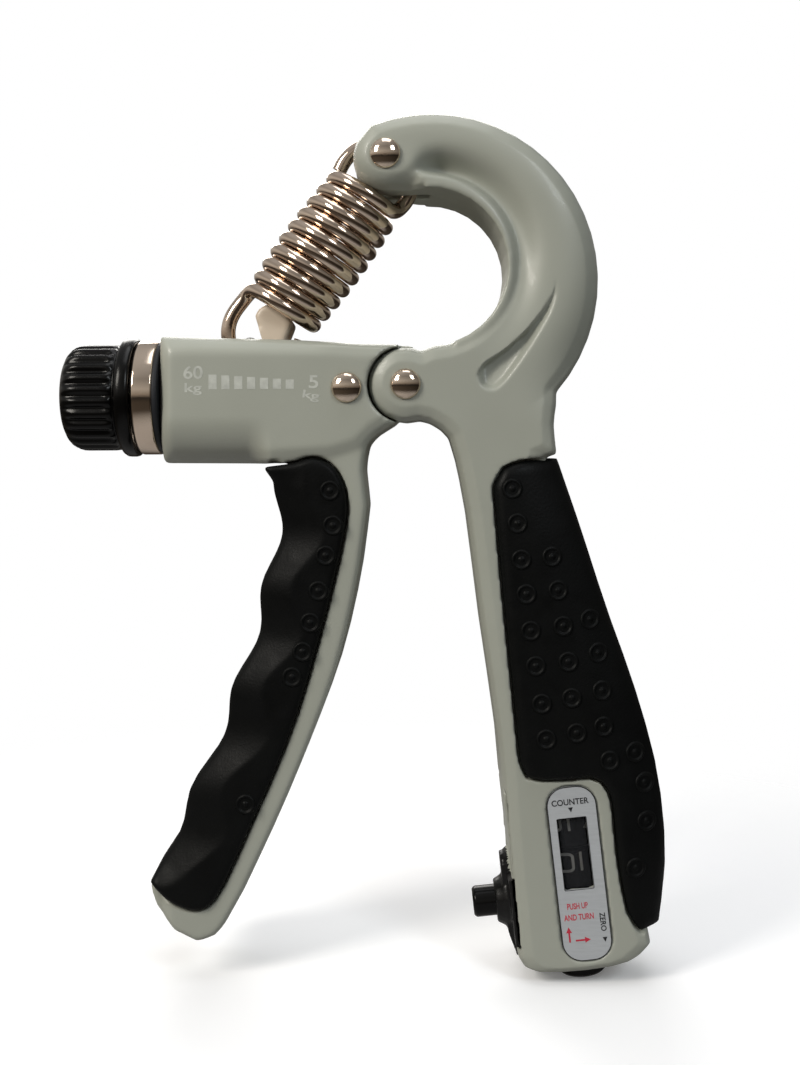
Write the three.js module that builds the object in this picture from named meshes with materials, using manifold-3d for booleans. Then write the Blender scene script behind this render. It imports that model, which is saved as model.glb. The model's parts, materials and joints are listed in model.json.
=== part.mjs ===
// Adjustable hand grip strengthener: a C-shaped main handle and a lever that close against a
// tension spring, a knob that slides the spring's lower anchor, and a press counter in the handle.
// Millimetres, +Z up. The object stands as it is held: the squeeze pivot runs along Y, the front
// face looks towards -Y, and the two grips hang down from the pivot.
import * as THREE from 'three';
import { mergeVertices } from 'three/addons/utils/BufferGeometryUtils.js';
import Module from 'manifold-3d';

const wasm = await Module();
wasm.setup();

// ---------- driving dimensions ----------
// X and Z are measured from the squeeze pivot, and Y from the middle plane.
const GAP = 0.3;
const FRAME_HALF = 10.8;
const ARM_HALF = 10.0;
const BARREL_HALF = 11.0;
const GRIP_HALF = 12.2;
const GRIP_CORE_HALF = 8.6;
const LEVER_GRIP_HALF = 11.6;
const LEVER_CORE_HALF = 7.6;
const RUBBER = 2.5;

const HOOK = { x: 5, z: 19.8, outer: 32, boreX: 4.5, boreZ: 22.3, bore: 15 };
const EAR = { x: -3.6, z: 43.6, radius: 6.35, slotHalf: 2.2, slotRadius: 5.6 };
const KNUCKLE = { radius: 7.1, tongueRadius: 6.6, tongueHalf: 5.5, pin: 2.2, hole: 2.3 };
const RIVET = { shank: 2.0, head: 2.9, dome: 1.6 };

const BARREL = { z: -1.8, left: -47.3, top: 9.6, bottom: -14.8, channel: 7.4, channelEnd: -13 };
const BARREL_RIVET = { x: -11.2, z: -0.6 };
const BUSH = { radius: 7, right: -46, hole: 2.6 };
const SEAL = { left: -49.7, right: -47.6, radius: 11.1, hole: 4 };
const COLLAR = { left: -53.9, right: -50, radius: 11.3, hole: 4 };
const SLOT = { from: -45, to: -14, half: 5 };
const KNOB = { left: -67.5, right: -54.2, radius: 10.6, flange: 11.7, flutes: 26 };
const SCREW = { radius: 2.5, end: -14.5 };
const SLIDER = { x: -30.3, z: 7.7, length: 9, pin: 1.9, pinHalf: 4.2, slit: 1.8 };

// The tension spring: wire, close turns, and a full loop at each end around its pin.
const WIRE = 1.4;
const LOOP = 7.4;
const LOOP_OFFSET = 3.95;
const BEND = { radius: 2.2, turn: 0.053 };
const COIL = { start: 9.35, pitch: 2.99, turns: 9.5, endRadius: 6.9, midRadius: 7.6, slice: 0.009 };
const COIL_CUTS = [0, 2.6, 5.2, 7.8, 9.5];

// The counter stands in the handle, turned a little so that its axle follows the handle.
const COUNTER = { x: 31.6, z: -88.9, tilt: 6.3, axleX: -0.6, axleY: -2.7 };
const HOUSING = { left: -13.1, right: 6.5, front: -9, back: 8.4, bottom: -17.3, top: 12.2, wall: 0.8 };
const AXLE = { radius: 1, hole: 1.2, drumHole: 1.15, bottom: -12.4, top: 12 };
const DRUM = { radius: 6, width: 7.5, from: 0.45 };
const PINION = { shaft: 0.5, hole: 0.65, boss: 0.75, root: 1.3, tip: 1.8, half: 2.3, reach: 8.1, teeth: 8 };
const PLUNGER = { z: -10.7, radius: 2.95, tip: -20.3, faceX: -13.4 };
const RESET = { radius: 4.7, bottom: -25.0, top: -22.7 };
const LABEL = { x: 0.3, z: -3.8, halfWidth: 4.65, halfLength: 16.5, half: 0.28 };
const WINDOW = { half: 2.75, halfLength: 6.8 };

// ---------- materials ----------
function material(color, roughness, metalness = 0) {
  return new THREE.MeshStandardMaterial({ color, roughness, metalness });
}

const greyPlastic = material(0x979a91, 0.5);
const rubber = material(0x1d1f20, 0.85);
const blackPlastic = material(0x0c0d0e, 0.25);
const darkGasket = material(0x4a4f54, 0.5);
const chrome = material(0xd9d2c8, 0.15, 1);
const steel = material(0xa9a9a6, 0.35, 1);
const whitePlastic = material(0xe6ddd0, 0.45);
const labelFoil = material(0xb4b8bf, 0.45, 0.3);
const clearPlastic = material(0xffffff, 0.1);
clearPlastic.transparent = true;
clearPlastic.opacity = 0.3;

// ---------- outlines ----------
const radians = THREE.MathUtils.degToRad;

function vectors(points) {
  return points.map(([a, b]) => new THREE.Vector2(a, b));
}

function arc(x, z, radius, from, to, steps) {
  const points = [];
  for (let i = 0; i <= steps; i += 1) {
    const angle = radians(from + ((to - from) * i) / steps);
    points.push([x + radius * Math.cos(angle), z + radius * Math.sin(angle)]);
  }
  return points;
}

function curve(points, steps) {
  const spline = new THREE.SplineCurve(vectors(points));
  return spline.getPoints(steps).map((point) => [point.x, point.y]);
}

// The same outline with every side moved outwards.
function grown(points, distance) {
  const turn = Math.sign(THREE.ShapeUtils.area(vectors(points)));
  return points.map((point, i) => {
    const before = points[(i + points.length - 1) % points.length];
    const after = points[(i + 1) % points.length];
    const [dx, dz] = [after[0] - before[0], after[1] - before[1]];
    const step = (turn * distance) / Math.hypot(dx, dz);
    return [point[0] + dz * step, point[1] - dx * step];
  });
}

// ---------- closed geometry ----------
function closed(geometry) {
  const bare = geometry.clone();
  bare.deleteAttribute('normal');
  bare.deleteAttribute('uv');
  return mergeVertices(bare, 1e-4);
}

function solid(geometry) {
  const bare = closed(geometry);
  const mesh = new wasm.Mesh({
    numProp: 3,
    vertProperties: new Float32Array(bare.attributes.position.array),
    triVerts: new Uint32Array(bare.index.array),
  });
  return new wasm.Manifold(mesh);
}

function geometryOf(body) {
  const mesh = body.getMesh();
  const geometry = new THREE.BufferGeometry();
  geometry.setAttribute('position', new THREE.BufferAttribute(new Float32Array(mesh.vertProperties), 3));
  geometry.setIndex(new THREE.BufferAttribute(new Uint32Array(mesh.triVerts), 1));
  geometry.computeVertexNormals();
  return geometry;
}

// A slab has its outline in X and Z and its thickness along Y, with rims rounded in rimSteps.
function slab(points, half, rim = 0, rimSteps = 2, y = 0) {
  const geometry = new THREE.ExtrudeGeometry(new THREE.Shape(vectors(points)), {
    depth: 2 * (half - rim),
    steps: 1,
    bevelEnabled: rim > 0,
    bevelThickness: rim,
    bevelSize: rim,
    bevelOffset: -rim,
    bevelSegments: rimSteps,
  });
  geometry.translate(0, 0, rim - half);
  geometry.rotateX(Math.PI / 2);
  geometry.translate(0, y, 0);
  return solid(geometry);
}

function box(low, high) {
  const size = high.map((value, i) => value - low[i]);
  const geometry = new THREE.BoxGeometry(...size);
  geometry.translate(...low.map((value, i) => value + size[i] / 2));
  return solid(geometry);
}

// A turned piece about X, Y or Z: its profile is [radius, place along the axis], going up the axis.
function turned(axis, profile, [a, b], segments = 24) {
  const geometry = new THREE.LatheGeometry(vectors(profile), segments);
  if (axis === 'x') {
    geometry.rotateZ(-Math.PI / 2);
    geometry.translate(0, a, b);
  } else if (axis === 'y') {
    geometry.translate(a, 0, b);
  } else {
    geometry.rotateX(Math.PI / 2);
    geometry.translate(a, b, 0);
  }
  return solid(geometry);
}

// A cylinder along one axis, from one place on that axis to another.
function rod(axis, radius, from, to, centre, segments = 24) {
  return turned(axis, [[0, from], [radius, from], [radius, to], [0, to]], centre, segments);
}

function ring(axis, inner, outer, from, to, centre, segments = 32) {
  const profile = [[inner, from], [outer, from], [outer, to], [inner, to], [inner, from]];
  return turned(axis, profile, centre, segments);
}

// A wire of round section along a path of points.
function wire(points, radius, sides = 6) {
  const path = new THREE.CatmullRomCurve3(points.map((point) => new THREE.Vector3(...point)));
  const section = new THREE.Shape(vectors(arc(0, 0, radius, 0, 360 - 360 / sides, sides - 1)));
  const steps = points.length - 1;
  return new THREE.ExtrudeGeometry(section, { steps, extrudePath: path, bevelEnabled: false });
}

// ---------- model tree ----------
const model = new THREE.Group();
const counter = new THREE.Group();
counter.position.set(COUNTER.x, 0, COUNTER.z);
counter.rotation.y = radians(-COUNTER.tilt);
model.add(counter);

function add(name, body, look, group = model) {
  const geometry = body.isBufferGeometry ? closed(body) : geometryOf(body);
  const mesh = new THREE.Mesh(geometry, look);
  mesh.name = name;
  group.add(mesh);
}

// A solid drawn in the counter's own frame, carried into the model's frame.
function fromCounter(body) {
  const geometry = geometryOf(body);
  counter.updateMatrix();
  geometry.applyMatrix4(counter.matrix);
  return solid(geometry);
}

// ---------- main handle ----------
// The back of the main handle, where the palm rests, from the waist down to the foot.
function palmEdge(inset) {
  const upper = [[28.9, -14.2], [33.2, -27.1], [38.2, -42.8]];
  const lower = [[43.6, -58.4], [47.7, -74], [49.2, -89.6], [47.9, -103]];
  return curve([...upper, ...lower].map(([x, z]) => [x - inset, z]), 14);
}

function mainOutline() {
  return [
    ...arc(EAR.x, EAR.z, EAR.radius, 270, 152, 6),
    ...arc(HOOK.x, HOOK.z, HOOK.outer, 111, -42, 21),
    ...curve([[28.7, -4.2], [28.2, -8], [28.7, -13.4]], 4),
    ...palmEdge(RUBBER),
    ...curve([[46.1, -106.6], [42.8, -110], [38.2, -112.3], [29.6, -113.4], [23.6, -112.7], [20.9, -109.4]], 8),
    ...curve([[20.1, -101], [18.6, -85], [17.3, -68], [14.2, -46], [11.6, -25], [9.6, -14.6]], 10),
    ...curve([[8.3, -10.2], [5.7, -7.7], [2.5, -6.7]], 3),
    ...arc(0, 0, KNUCKLE.radius, 285, 65, 14),
    ...arc(HOOK.boreX, HOOK.boreZ, HOOK.bore, -88, 88, 16),
  ];
}

// Where the rubber lies on the main handle, seen from the front; grow makes its seat.
function mainGripOutline() {
  return [
    ...curve([[22.6, -14.6], [18.4, -16], [16.5, -19.6]], 4),
    ...curve([[18, -38], [21.2, -71.4]], 3),
    ...curve([[22.6, -74.6], [27.4, -75.2], [34.6, -74.5], [37.4, -76.2], [38.6, -79.6]], 6),
    ...curve([[39.6, -90], [41.4, -100], [44, -104]], 4),
    ...palmEdge(0).reverse(),
  ];
}

function mainCore(inset, half) {
  return slab([...palmEdge(inset), [44, -112], [24, -112], [22, -80], [12, -30], [12, -8], [26.6, -8]], half);
}

// The teardrop hollow pressed into each face, beside the pivot.
function teardrop(y) {
  const points = [
    ...arc(16.4, 2.2, 2.7, 130, 320, 8),
    ...curve([[22.6, 7], [27.2, 14], [28.6, 21.6]], 5),
    ...curve([[25.6, 14.2], [21, 8]], 3),
  ];
  return slab(points, 1.1, 0, 1, y);
}

function mainFrame() {
  const grip = slab(grown(mainGripOutline(), GAP), 2 * FRAME_HALF).subtract(mainCore(0, GRIP_CORE_HALF));
  const { left, right, front, back, bottom, top } = HOUSING;
  const cavity = box([left - 2, front - GAP, bottom - GAP], [right + GAP, back + GAP, top + GAP]);
  const seat = slab(stadium(LABEL.halfWidth + GAP, LABEL.halfLength + GAP), 2, 0, 1, -FRAME_HALF - 1.1);
  const resetBore = rod('z', RESET.radius + 0.4, -30, -17, [COUNTER.axleX, COUNTER.axleY]);
  const lip = [
    ...arc(HOOK.boreX, HOOK.boreZ, HOOK.bore, -72, 92, 14),
    ...arc(HOOK.boreX, HOOK.boreZ, HOOK.bore + 2.4, 92, -72, 14),
  ];
  const body = slab(mainOutline(), FRAME_HALF, 2.6, 2).add(slab(lip, FRAME_HALF - 0.5));
  const cuts = [
    grip,
    rod('y', KNUCKLE.radius + GAP, -KNUCKLE.tongueHalf - GAP, KNUCKLE.tongueHalf + GAP, [0, 0], 40),
    rod('y', KNUCKLE.hole, -20, 20, [0, 0]),
    rod('y', KNUCKLE.hole, -20, 20, [EAR.x, EAR.z]),
    rod('y', EAR.slotRadius, -EAR.slotHalf, EAR.slotHalf, [EAR.x, EAR.z]),
    box([-16, -EAR.slotHalf, 30], [-2.6, EAR.slotHalf, 54]),
    box([-16, -EAR.slotHalf, 30], [4.8, EAR.slotHalf, 43.6]),
    teardrop(-FRAME_HALF),
    teardrop(FRAME_HALF),
    fromCounter(cavity),
    fromCounter(windowHole()),
    fromCounter(seat),
    fromCounter(resetBore),
  ];
  return cuts.reduce((rest, cut) => rest.subtract(cut), body);
}

function mainGrip() {
  return slab(mainGripOutline(), GRIP_HALF, 1.6, 2).subtract(mainCore(RUBBER - GAP, GRIP_CORE_HALF + GAP));
}

function rivet(x, z, face, shank) {
  const dome = arc(0, 0, 1, 0, 90, 4).map(([r, s]) => [RIVET.head * r, RIVET.dome * s]);
  const top = dome.map(([r, s]) => [r, face + 0.05 + s]);
  const bottom = dome.map(([r, s]) => [r, -face - 0.05 - s]).reverse();
  top[top.length - 1][0] = 0;
  bottom[0][0] = 0;
  return turned('y', [...bottom, [shank, -face - 0.05], [shank, face + 0.05], ...top], [x, z], 20);
}

// ---------- lever ----------
// The fingers' side of the lever: a long curve with a shallow groove for each finger.
function fingerEdge(inset) {
  const pitch = 19.2;
  const firstGroove = -28.6;
  const base = [[-24.9, -18.4], [-25.4, -28], [-28.4, -42], [-33, -57], [-39.2, -72.5], [-47.9, -90.5]];
  return curve(base, 34).map(([x, z]) => {
    const groove = 0.5 + Math.cos((2 * Math.PI * (z - firstGroove)) / pitch);
    return [inset > 0 ? x + inset : x + groove, z];
  });
}

function barrelOutline() {
  return [
    [-1.9, -7.3],
    [1.6, -4],
    [1.6, 7.6],
    [-8, 7.9],
    [-22, 8.8],
    [BARREL.left, BARREL.top],
    [BARREL.left, BARREL.bottom],
    [-27, -15],
    [-14, -14.2],
    [-8.6, -12.6],
    [-5.6, -9.6],
  ];
}

function armOutline() {
  return [
    [-27, -10],
    ...fingerEdge(RUBBER - 0.2),
    ...curve([[-49.7, -95.6], [-48.5, -99.8], [-44.9, -104.4]], 4),
    ...curve([[-40.6, -106.5], [-37.2, -105.4], [-35, -102.8]], 4),
    ...curve([[-31.5, -96.6], [-24.6, -82], [-18.4, -67.3], [-13.1, -52.7], [-9.4, -37], [-7.5, -23.4]], 12),
    ...curve([[-8.2, -16.4], [-7.5, -11.8], [-5.1, -9], [-1.9, -7.3]], 6),
    [-4.4, -4.6],
    [-18, -4.6],
  ];
}

function leverGripOutline() {
  const front = [[-17.6, -13.9], [-13.6, -15.8], [-11.3, -21.5], [-12.1, -30], [-16.7, -48.3], [-22.2, -66]];
  const foot = [[-30, -84], [-36.3, -97.2], [-40.2, -100.2], [-45.6, -98.6], [-49.4, -94.8]];
  return [...curve([[-27.2, -15.6], [-21.6, -14.9], ...front, ...foot], 30), ...fingerEdge(0).reverse()];
}

function leverCore(inset, half) {
  const rest = [[inset - 44, -108], [-30, -108], [-9, -40], [-9, -8], [-22.6, -8]];
  return slab([...fingerEdge(inset), ...rest], half);
}

function leverFrame() {
  const hull = slab(barrelOutline(), BARREL_HALF, 2.6, 2);
  const arm = slab(armOutline(), ARM_HALF, 1, 2);
  const { radius, tongueRadius, tongueHalf, hole } = KNUCKLE;
  const eye = [...arc(0, 0, tongueRadius, -90, 90, 16), [-12, tongueRadius], [-12, -tongueRadius]];
  const tongue = slab(eye, tongueHalf);
  const seat = slab(grown(leverGripOutline(), GAP), 2 * ARM_HALF).subtract(leverCore(RUBBER, LEVER_CORE_HALF));
  const backCheek = rod('y', radius + GAP, tongueHalf, 30, [0, 0], 40);
  const frontCheek = rod('y', radius + GAP, -30, -tongueHalf, [0, 0], 40);
  const half = BARREL.channel;
  const channel = box([-60, -half, BARREL.z - half], [BARREL.channelEnd, half, BARREL.z + half]);
  const slot = box([SLOT.from, -SLOT.half, BARREL.z], [SLOT.to, SLOT.half, 20]);
  return hull
    .add(arm)
    .subtract(seat)
    .subtract(backCheek)
    .subtract(frontCheek)
    .add(tongue)
    .subtract(channel)
    .subtract(slot)
    .subtract(rod('y', hole, -20, 20, [0, 0]))
    .subtract(rod('y', hole, -20, 20, [BARREL_RIVET.x, BARREL_RIVET.z]));
}

function leverGrip() {
  const core = leverCore(RUBBER - GAP, LEVER_CORE_HALF + GAP);
  return slab(leverGripOutline(), LEVER_GRIP_HALF, 1, 2).subtract(core);
}

// ---------- adjuster ----------
// The outline of a toothed wheel: one tooth is a list of [share of the pitch, radius].
function toothed(teeth, tooth) {
  const outline = [];
  for (let i = 0; i < teeth; i += 1) {
    for (const [share, radius] of tooth) {
      const angle = (2 * Math.PI * (i + share)) / teeth;
      outline.push([radius * Math.cos(angle), radius * Math.sin(angle)]);
    }
  }
  return new THREE.Shape(vectors(outline));
}

const barrelAxis = [0, BARREL.z];

function adjustKnob() {
  const { left, right, radius, flange, flutes } = KNOB;
  const groove = radius - 0.55;
  const outline = toothed(flutes, [[0.1, radius], [0.5, radius], [0.68, groove], [0.92, groove]]);
  const fluted = new THREE.ExtrudeGeometry(outline, { depth: right - left, bevelEnabled: false });
  fluted.rotateY(Math.PI / 2);
  fluted.translate(left, ...barrelAxis);
  const dome = [[0, left], [6.4, left + 0.2], [9.2, left + 1], [10.3, left + 2.4], [11, right], [0, right]];
  const rimRing = [
    [0, right - 3.2],
    [10.9, right - 3.2],
    [flange, right - 2.4],
    [flange, right - 0.6],
    [flange - 0.6, right],
    [0, right],
  ];
  return solid(fluted)
    .intersect(turned('x', dome, barrelAxis, 40))
    .add(turned('x', rimRing, barrelAxis, 40))
    .subtract(rod('x', SCREW.radius + 0.05, left + 4, right + 1, barrelAxis));
}

function leadScrew() {
  return rod('x', SCREW.radius, KNOB.left + 4.3, SCREW.end, barrelAxis, 24);
}

function slider() {
  const { x, z, length, pin, pinHalf, slit } = SLIDER;
  const half = BARREL.channel - GAP;
  const nut = box([x - length / 2, -half, BARREL.z - half], [x + length / 2, half, BARREL.z + half]);
  const cheek = slab(
    [
      [-4.2, 2 - z],
      [-3.9, 1.5],
      [-0.9, 2.9],
      ...curve([[1.6, 4], [0.9, 6], [2.2, 7.9], [4.6, 8.4], [6.8, 6.9]], 7),
      ...curve([[8.2, 4.6], [7.6, 3], [7, 1.6]], 3),
      [6, 2 - z],
    ].map(([a, b]) => [x + a, z + b]),
    SLOT.half - GAP,
    0.8,
    2,
  );
  return nut
    .add(cheek)
    .subtract(box([x - 12, -slit, 0.7], [x + 12, slit, 40]))
    .subtract(rod('x', SCREW.radius + 0.1, x - 12, x + 12, barrelAxis))
    .subtract(rod('y', pin + 0.1, -pinHalf - 0.2, pinHalf + 0.2, [x, z]));
}

// ---------- tension spring ----------
const anchor = new THREE.Vector3(SLIDER.x, 0, SLIDER.z);
const hookPin = new THREE.Vector3(EAR.x, 0, EAR.z);
const alongSpring = hookPin.clone().sub(anchor);
const springLength = alongSpring.length();
const coilEnd = COIL.start + COIL.pitch * COIL.turns;
alongSpring.normalize();
const acrossSpring = new THREE.Vector3(-alongSpring.z, 0, alongSpring.x);

// A place on the spring: u along its axis from the slider pin, v to its left, w to the front.
function springPoint(u, v, w) {
  return [
    anchor.x + u * alongSpring.x + v * acrossSpring.x,
    -w,
    anchor.z + u * alongSpring.z + v * acrossSpring.z,
  ];
}

function coilPoint(turn) {
  const angle = 2 * Math.PI * turn;
  const swell = Math.sin((Math.PI * turn) / COIL.turns);
  const radius = COIL.endRadius + (COIL.midRadius - COIL.endRadius) * swell;
  return springPoint(COIL.start + COIL.pitch * turn, radius * Math.cos(angle), radius * Math.sin(angle));
}

// One length of the coil. The first and the last give way to the loops' bends.
function springCoil(part) {
  const first = part === 0 ? BEND.turn : 0;
  const last = part === COIL_CUTS.length - 2 ? BEND.turn : 0;
  const from = COIL_CUTS[part] + first + COIL.slice;
  const to = COIL_CUTS[part + 1] - last - COIL.slice;
  const steps = Math.round((to - from) * 13);
  const points = Array.from({ length: steps + 1 }, (_, i) => coilPoint(from + ((to - from) * i) / steps));
  return wire(points, WIRE);
}

// A loop runs from its free tip round the pin and bends over into the coil's last turn.
function springLoop(centre, direction, tip, joinU) {
  const round = arc(0, 0, LOOP, tip, 268, 10).map(([u, v]) => {
    return springPoint(centre + direction * u, -direction * v, 0);
  });
  const bend = [0, 30, 60, 90].map((degrees) => {
    const angle = radians(degrees);
    const u = joinU - direction * BEND.radius * (1 - Math.sin(angle));
    const w = BEND.radius * (1 - Math.cos(angle));
    const v = (COIL.endRadius + 0.35 * (1 - degrees / 90)) * Math.cos(w / COIL.endRadius);
    return springPoint(u, direction * v, w);
  });
  return wire([...round, ...bend], WIRE);
}

// ---------- counter ----------
function stadium(halfWidth, halfLength) {
  const r = halfWidth * 0.86;
  const x = halfWidth - r;
  const z = halfLength - r;
  return [
    ...arc(LABEL.x + x, LABEL.z + z, r, 0, 90, 5),
    ...arc(LABEL.x - x, LABEL.z + z, r, 90, 180, 5),
    ...arc(LABEL.x - x, LABEL.z - z, r, 180, 270, 5),
    ...arc(LABEL.x + x, LABEL.z - z, r, 270, 360, 5),
  ];
}

const counterAxis = [COUNTER.axleX, COUNTER.axleY];
const pinionAxis = [COUNTER.axleX, COUNTER.axleY + PINION.reach];

// The opening in the front face that the drums are read through.
function windowHole() {
  return box([-WINDOW.half, -14, -WINDOW.halfLength], [WINDOW.half, -8, WINDOW.halfLength]);
}

function counterHousing() {
  const { left, right, front, back, bottom, top, wall } = HOUSING;
  const shell = box([left, front, bottom], [right, back, top]);
  const inside = box([left + wall, -20, bottom + wall], [right - wall, back - wall, top - wall]);
  const rib = box([-2.2, -6.4, -12.6], [6, 7.8, -11.2]);
  const plate = slab([...arc(0, -4.6, 3.4, 0, 180, 8), ...arc(0, -17.2, 3.4, 180, 360, 8)], 0.45);
  const face = solid(geometryOf(plate).rotateZ(-Math.PI / 2).translate(PLUNGER.faceX - 0.25, 0, 0));
  const boss = [[0, -15.9], [3.9, -15.9], [4.5, -14.6], [5.1, -13.7], [5.1, -13.2], [0, -13.2]];
  const neck = box([-13.7, -3.2, -16.6], [-12.6, 3.2, -3]);
  return shell
    .subtract(inside)
    .add(rib)
    .add(face)
    .add(neck)
    .add(turned('x', boss, [0, PLUNGER.z], 24))
    .subtract(rod('x', PLUNGER.radius + 0.2, -25, -11, [0, PLUNGER.z]))
    .subtract(rod('z', AXLE.hole, -20, 20, counterAxis, 16))
    .subtract(rod('z', 1.8, -20, -12.9, counterAxis, 16))
    .subtract(rod('z', PINION.boss, -13.5, 13, pinionAxis, 12));
}

function drum(from, to) {
  return ring('z', AXLE.drumHole, DRUM.radius, from, to, counterAxis, 40);
}

function unitsDrum() {
  const outline = toothed(10, [[0, 4.9], [0.82, 3.9]]);
  const ratchet = new THREE.ExtrudeGeometry(outline, { depth: 2.6, bevelEnabled: false });
  ratchet.translate(...counterAxis, -10.3);
  return drum(-DRUM.from - DRUM.width, -DRUM.from)
    .add(solid(ratchet))
    .subtract(rod('z', AXLE.drumHole, -20, 0, counterAxis, 40));
}

function transferPinion() {
  const { root, tip, half, hole, teeth } = PINION;
  const outline = toothed(teeth, [[0, tip], [0.4, tip], [0.5, root], [0.9, root]]);
  const gear = new THREE.ExtrudeGeometry(outline, { depth: 2 * half, bevelEnabled: false });
  gear.translate(...pinionAxis, -half);
  return solid(gear).subtract(rod('z', hole, -5, 5, pinionAxis, 12));
}

function plunger() {
  const { tip, radius, z } = PLUNGER;
  const profile = [[0, tip], [radius - 0.5, tip], [radius, tip + 0.5], [radius, -9.6], [0, -9.6]];
  const flange = ring('x', 2, 4.3, -11.4, -10.2, [0, z], 24);
  return turned('x', profile, [0, z], 24).add(flange);
}

function drivePawl() {
  const arm = box([-9.3, 2.4, -9.9], [1.2, 3.0, -8.5]);
  const foot = box([-9.3, 0.6, -11.2], [-8.5, 3.0, -8.5]);
  return arm.add(foot);
}

// A small round-wire spring along X or Z.
function helix(axis, radius, from, to, turns, centre) {
  const steps = 8;
  const points = [];
  for (let i = 0; i <= turns * steps; i += 1) {
    const angle = (2 * Math.PI * i) / steps;
    const along = from + ((to - from) * i) / (turns * steps);
    const [a, b] = [centre[0] + radius * Math.cos(angle), centre[1] + radius * Math.sin(angle)];
    points.push(axis === 'x' ? [along, a, b] : [a, b, along]);
  }
  return wire(points, 0.25, 4);
}

function labelPlate() {
  const plate = slab(stadium(LABEL.halfWidth, LABEL.halfLength), LABEL.half, 0, 1, GAP - FRAME_HALF);
  return plate.subtract(windowHole());
}

function windowLens() {
  const half = WINDOW.half - GAP;
  const halfLength = WINDOW.halfLength - GAP;
  return box([-half, -10.4, -halfLength], [half, -9.8, halfLength]);
}

function resetKnob() {
  const { radius, bottom, top } = RESET;
  const head = [[0, bottom], [radius - 0.6, bottom], [radius, bottom + 0.6], [radius, top]];
  return turned('z', [...head, [1.4, top], [1.4, -14], [0, -14]], counterAxis, 32);
}

// ---------- assembly ----------
add('main_frame', mainFrame(), greyPlastic);
add('main_grip', mainGrip(), rubber);
add('hook_rivet', rivet(EAR.x, EAR.z, FRAME_HALF, RIVET.shank), chrome);
add('pivot_rivet', rivet(0, 0, FRAME_HALF, KNUCKLE.pin), chrome);

add('lever_frame', leverFrame(), greyPlastic);
add('lever_grip', leverGrip(), rubber);
add('barrel_rivet', rivet(BARREL_RIVET.x, BARREL_RIVET.z, BARREL_HALF, RIVET.shank), chrome);
add('barrel_bush', ring('x', BUSH.hole, BUSH.radius, BARREL.left, BUSH.right, barrelAxis, 24), whitePlastic);
add('seal_ring', ring('x', SEAL.hole, SEAL.radius, SEAL.left, SEAL.right, barrelAxis, 40), darkGasket);
add('chrome_collar', ring('x', COLLAR.hole, COLLAR.radius, COLLAR.left, COLLAR.right, barrelAxis, 40), chrome);

add('adjust_knob', adjustKnob(), blackPlastic);
add('lead_screw', leadScrew(), steel);
add('slider', slider(), whitePlastic);
add('slider_pin', rod('y', SLIDER.pin, -SLIDER.pinHalf, SLIDER.pinHalf, [SLIDER.x, SLIDER.z], 20), steel);

add('spring_lower_loop', springLoop(LOOP_OFFSET, 1, 66, COIL.start), chrome);
add('spring_coil_1', springCoil(0), chrome);
add('spring_coil_2', springCoil(1), chrome);
add('spring_coil_3', springCoil(2), chrome);
add('spring_coil_4', springCoil(3), chrome);
add('spring_upper_loop', springLoop(springLength - LOOP_OFFSET, -1, 82, coilEnd), chrome);

add('counter_housing', counterHousing(), blackPlastic, counter);
add('label_plate', labelPlate(), labelFoil, counter);
add('window_lens', windowLens(), clearPlastic, counter);
add('counter_axle', rod('z', AXLE.radius, AXLE.bottom, AXLE.top, counterAxis, 16), steel, counter);
add('tens_drum', drum(DRUM.from, DRUM.from + DRUM.width), blackPlastic, counter);
add('units_drum', unitsDrum(), blackPlastic, counter);
add('pinion_shaft', rod('z', PINION.shaft, AXLE.bottom, AXLE.top, pinionAxis, 12), steel, counter);
add('transfer_pinion', transferPinion(), whitePlastic, counter);
add('plunger', plunger(), blackPlastic, counter);
add('drive_pawl', drivePawl(), steel, counter);
add('plunger_spring', helix('x', 1.5, -9.1, -2.6, 6, [0, -13.2]), steel, counter);
add('reset_knob', resetKnob(), blackPlastic, counter);
add('reset_collar', ring('z', 1.8, 4.2, -22.3, -21.3, counterAxis, 24), whitePlastic, counter);
add('reset_spring', helix('z', 2.7, -20.9, -17.9, 4, counterAxis), steel, counter);

const bounds = new THREE.Box3().setFromObject(model, true);
model.position.set(-(bounds.min.x + bounds.max.x) / 2, -(bounds.min.y + bounds.max.y) / 2, -bounds.min.z);

export default model;
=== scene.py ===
"""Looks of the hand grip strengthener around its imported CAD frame.

The scene is in metres. "Local" coordinates are millimetres from the squeeze pivot, with X towards
the palm, Y to the back and Z up. Every place comes from the frame's boxes and joints or from the
same design sizes as the CAD model's.
"""
import json
import math

import bmesh
import bpy
import numpy as np
from mathutils import Matrix, Vector


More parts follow.
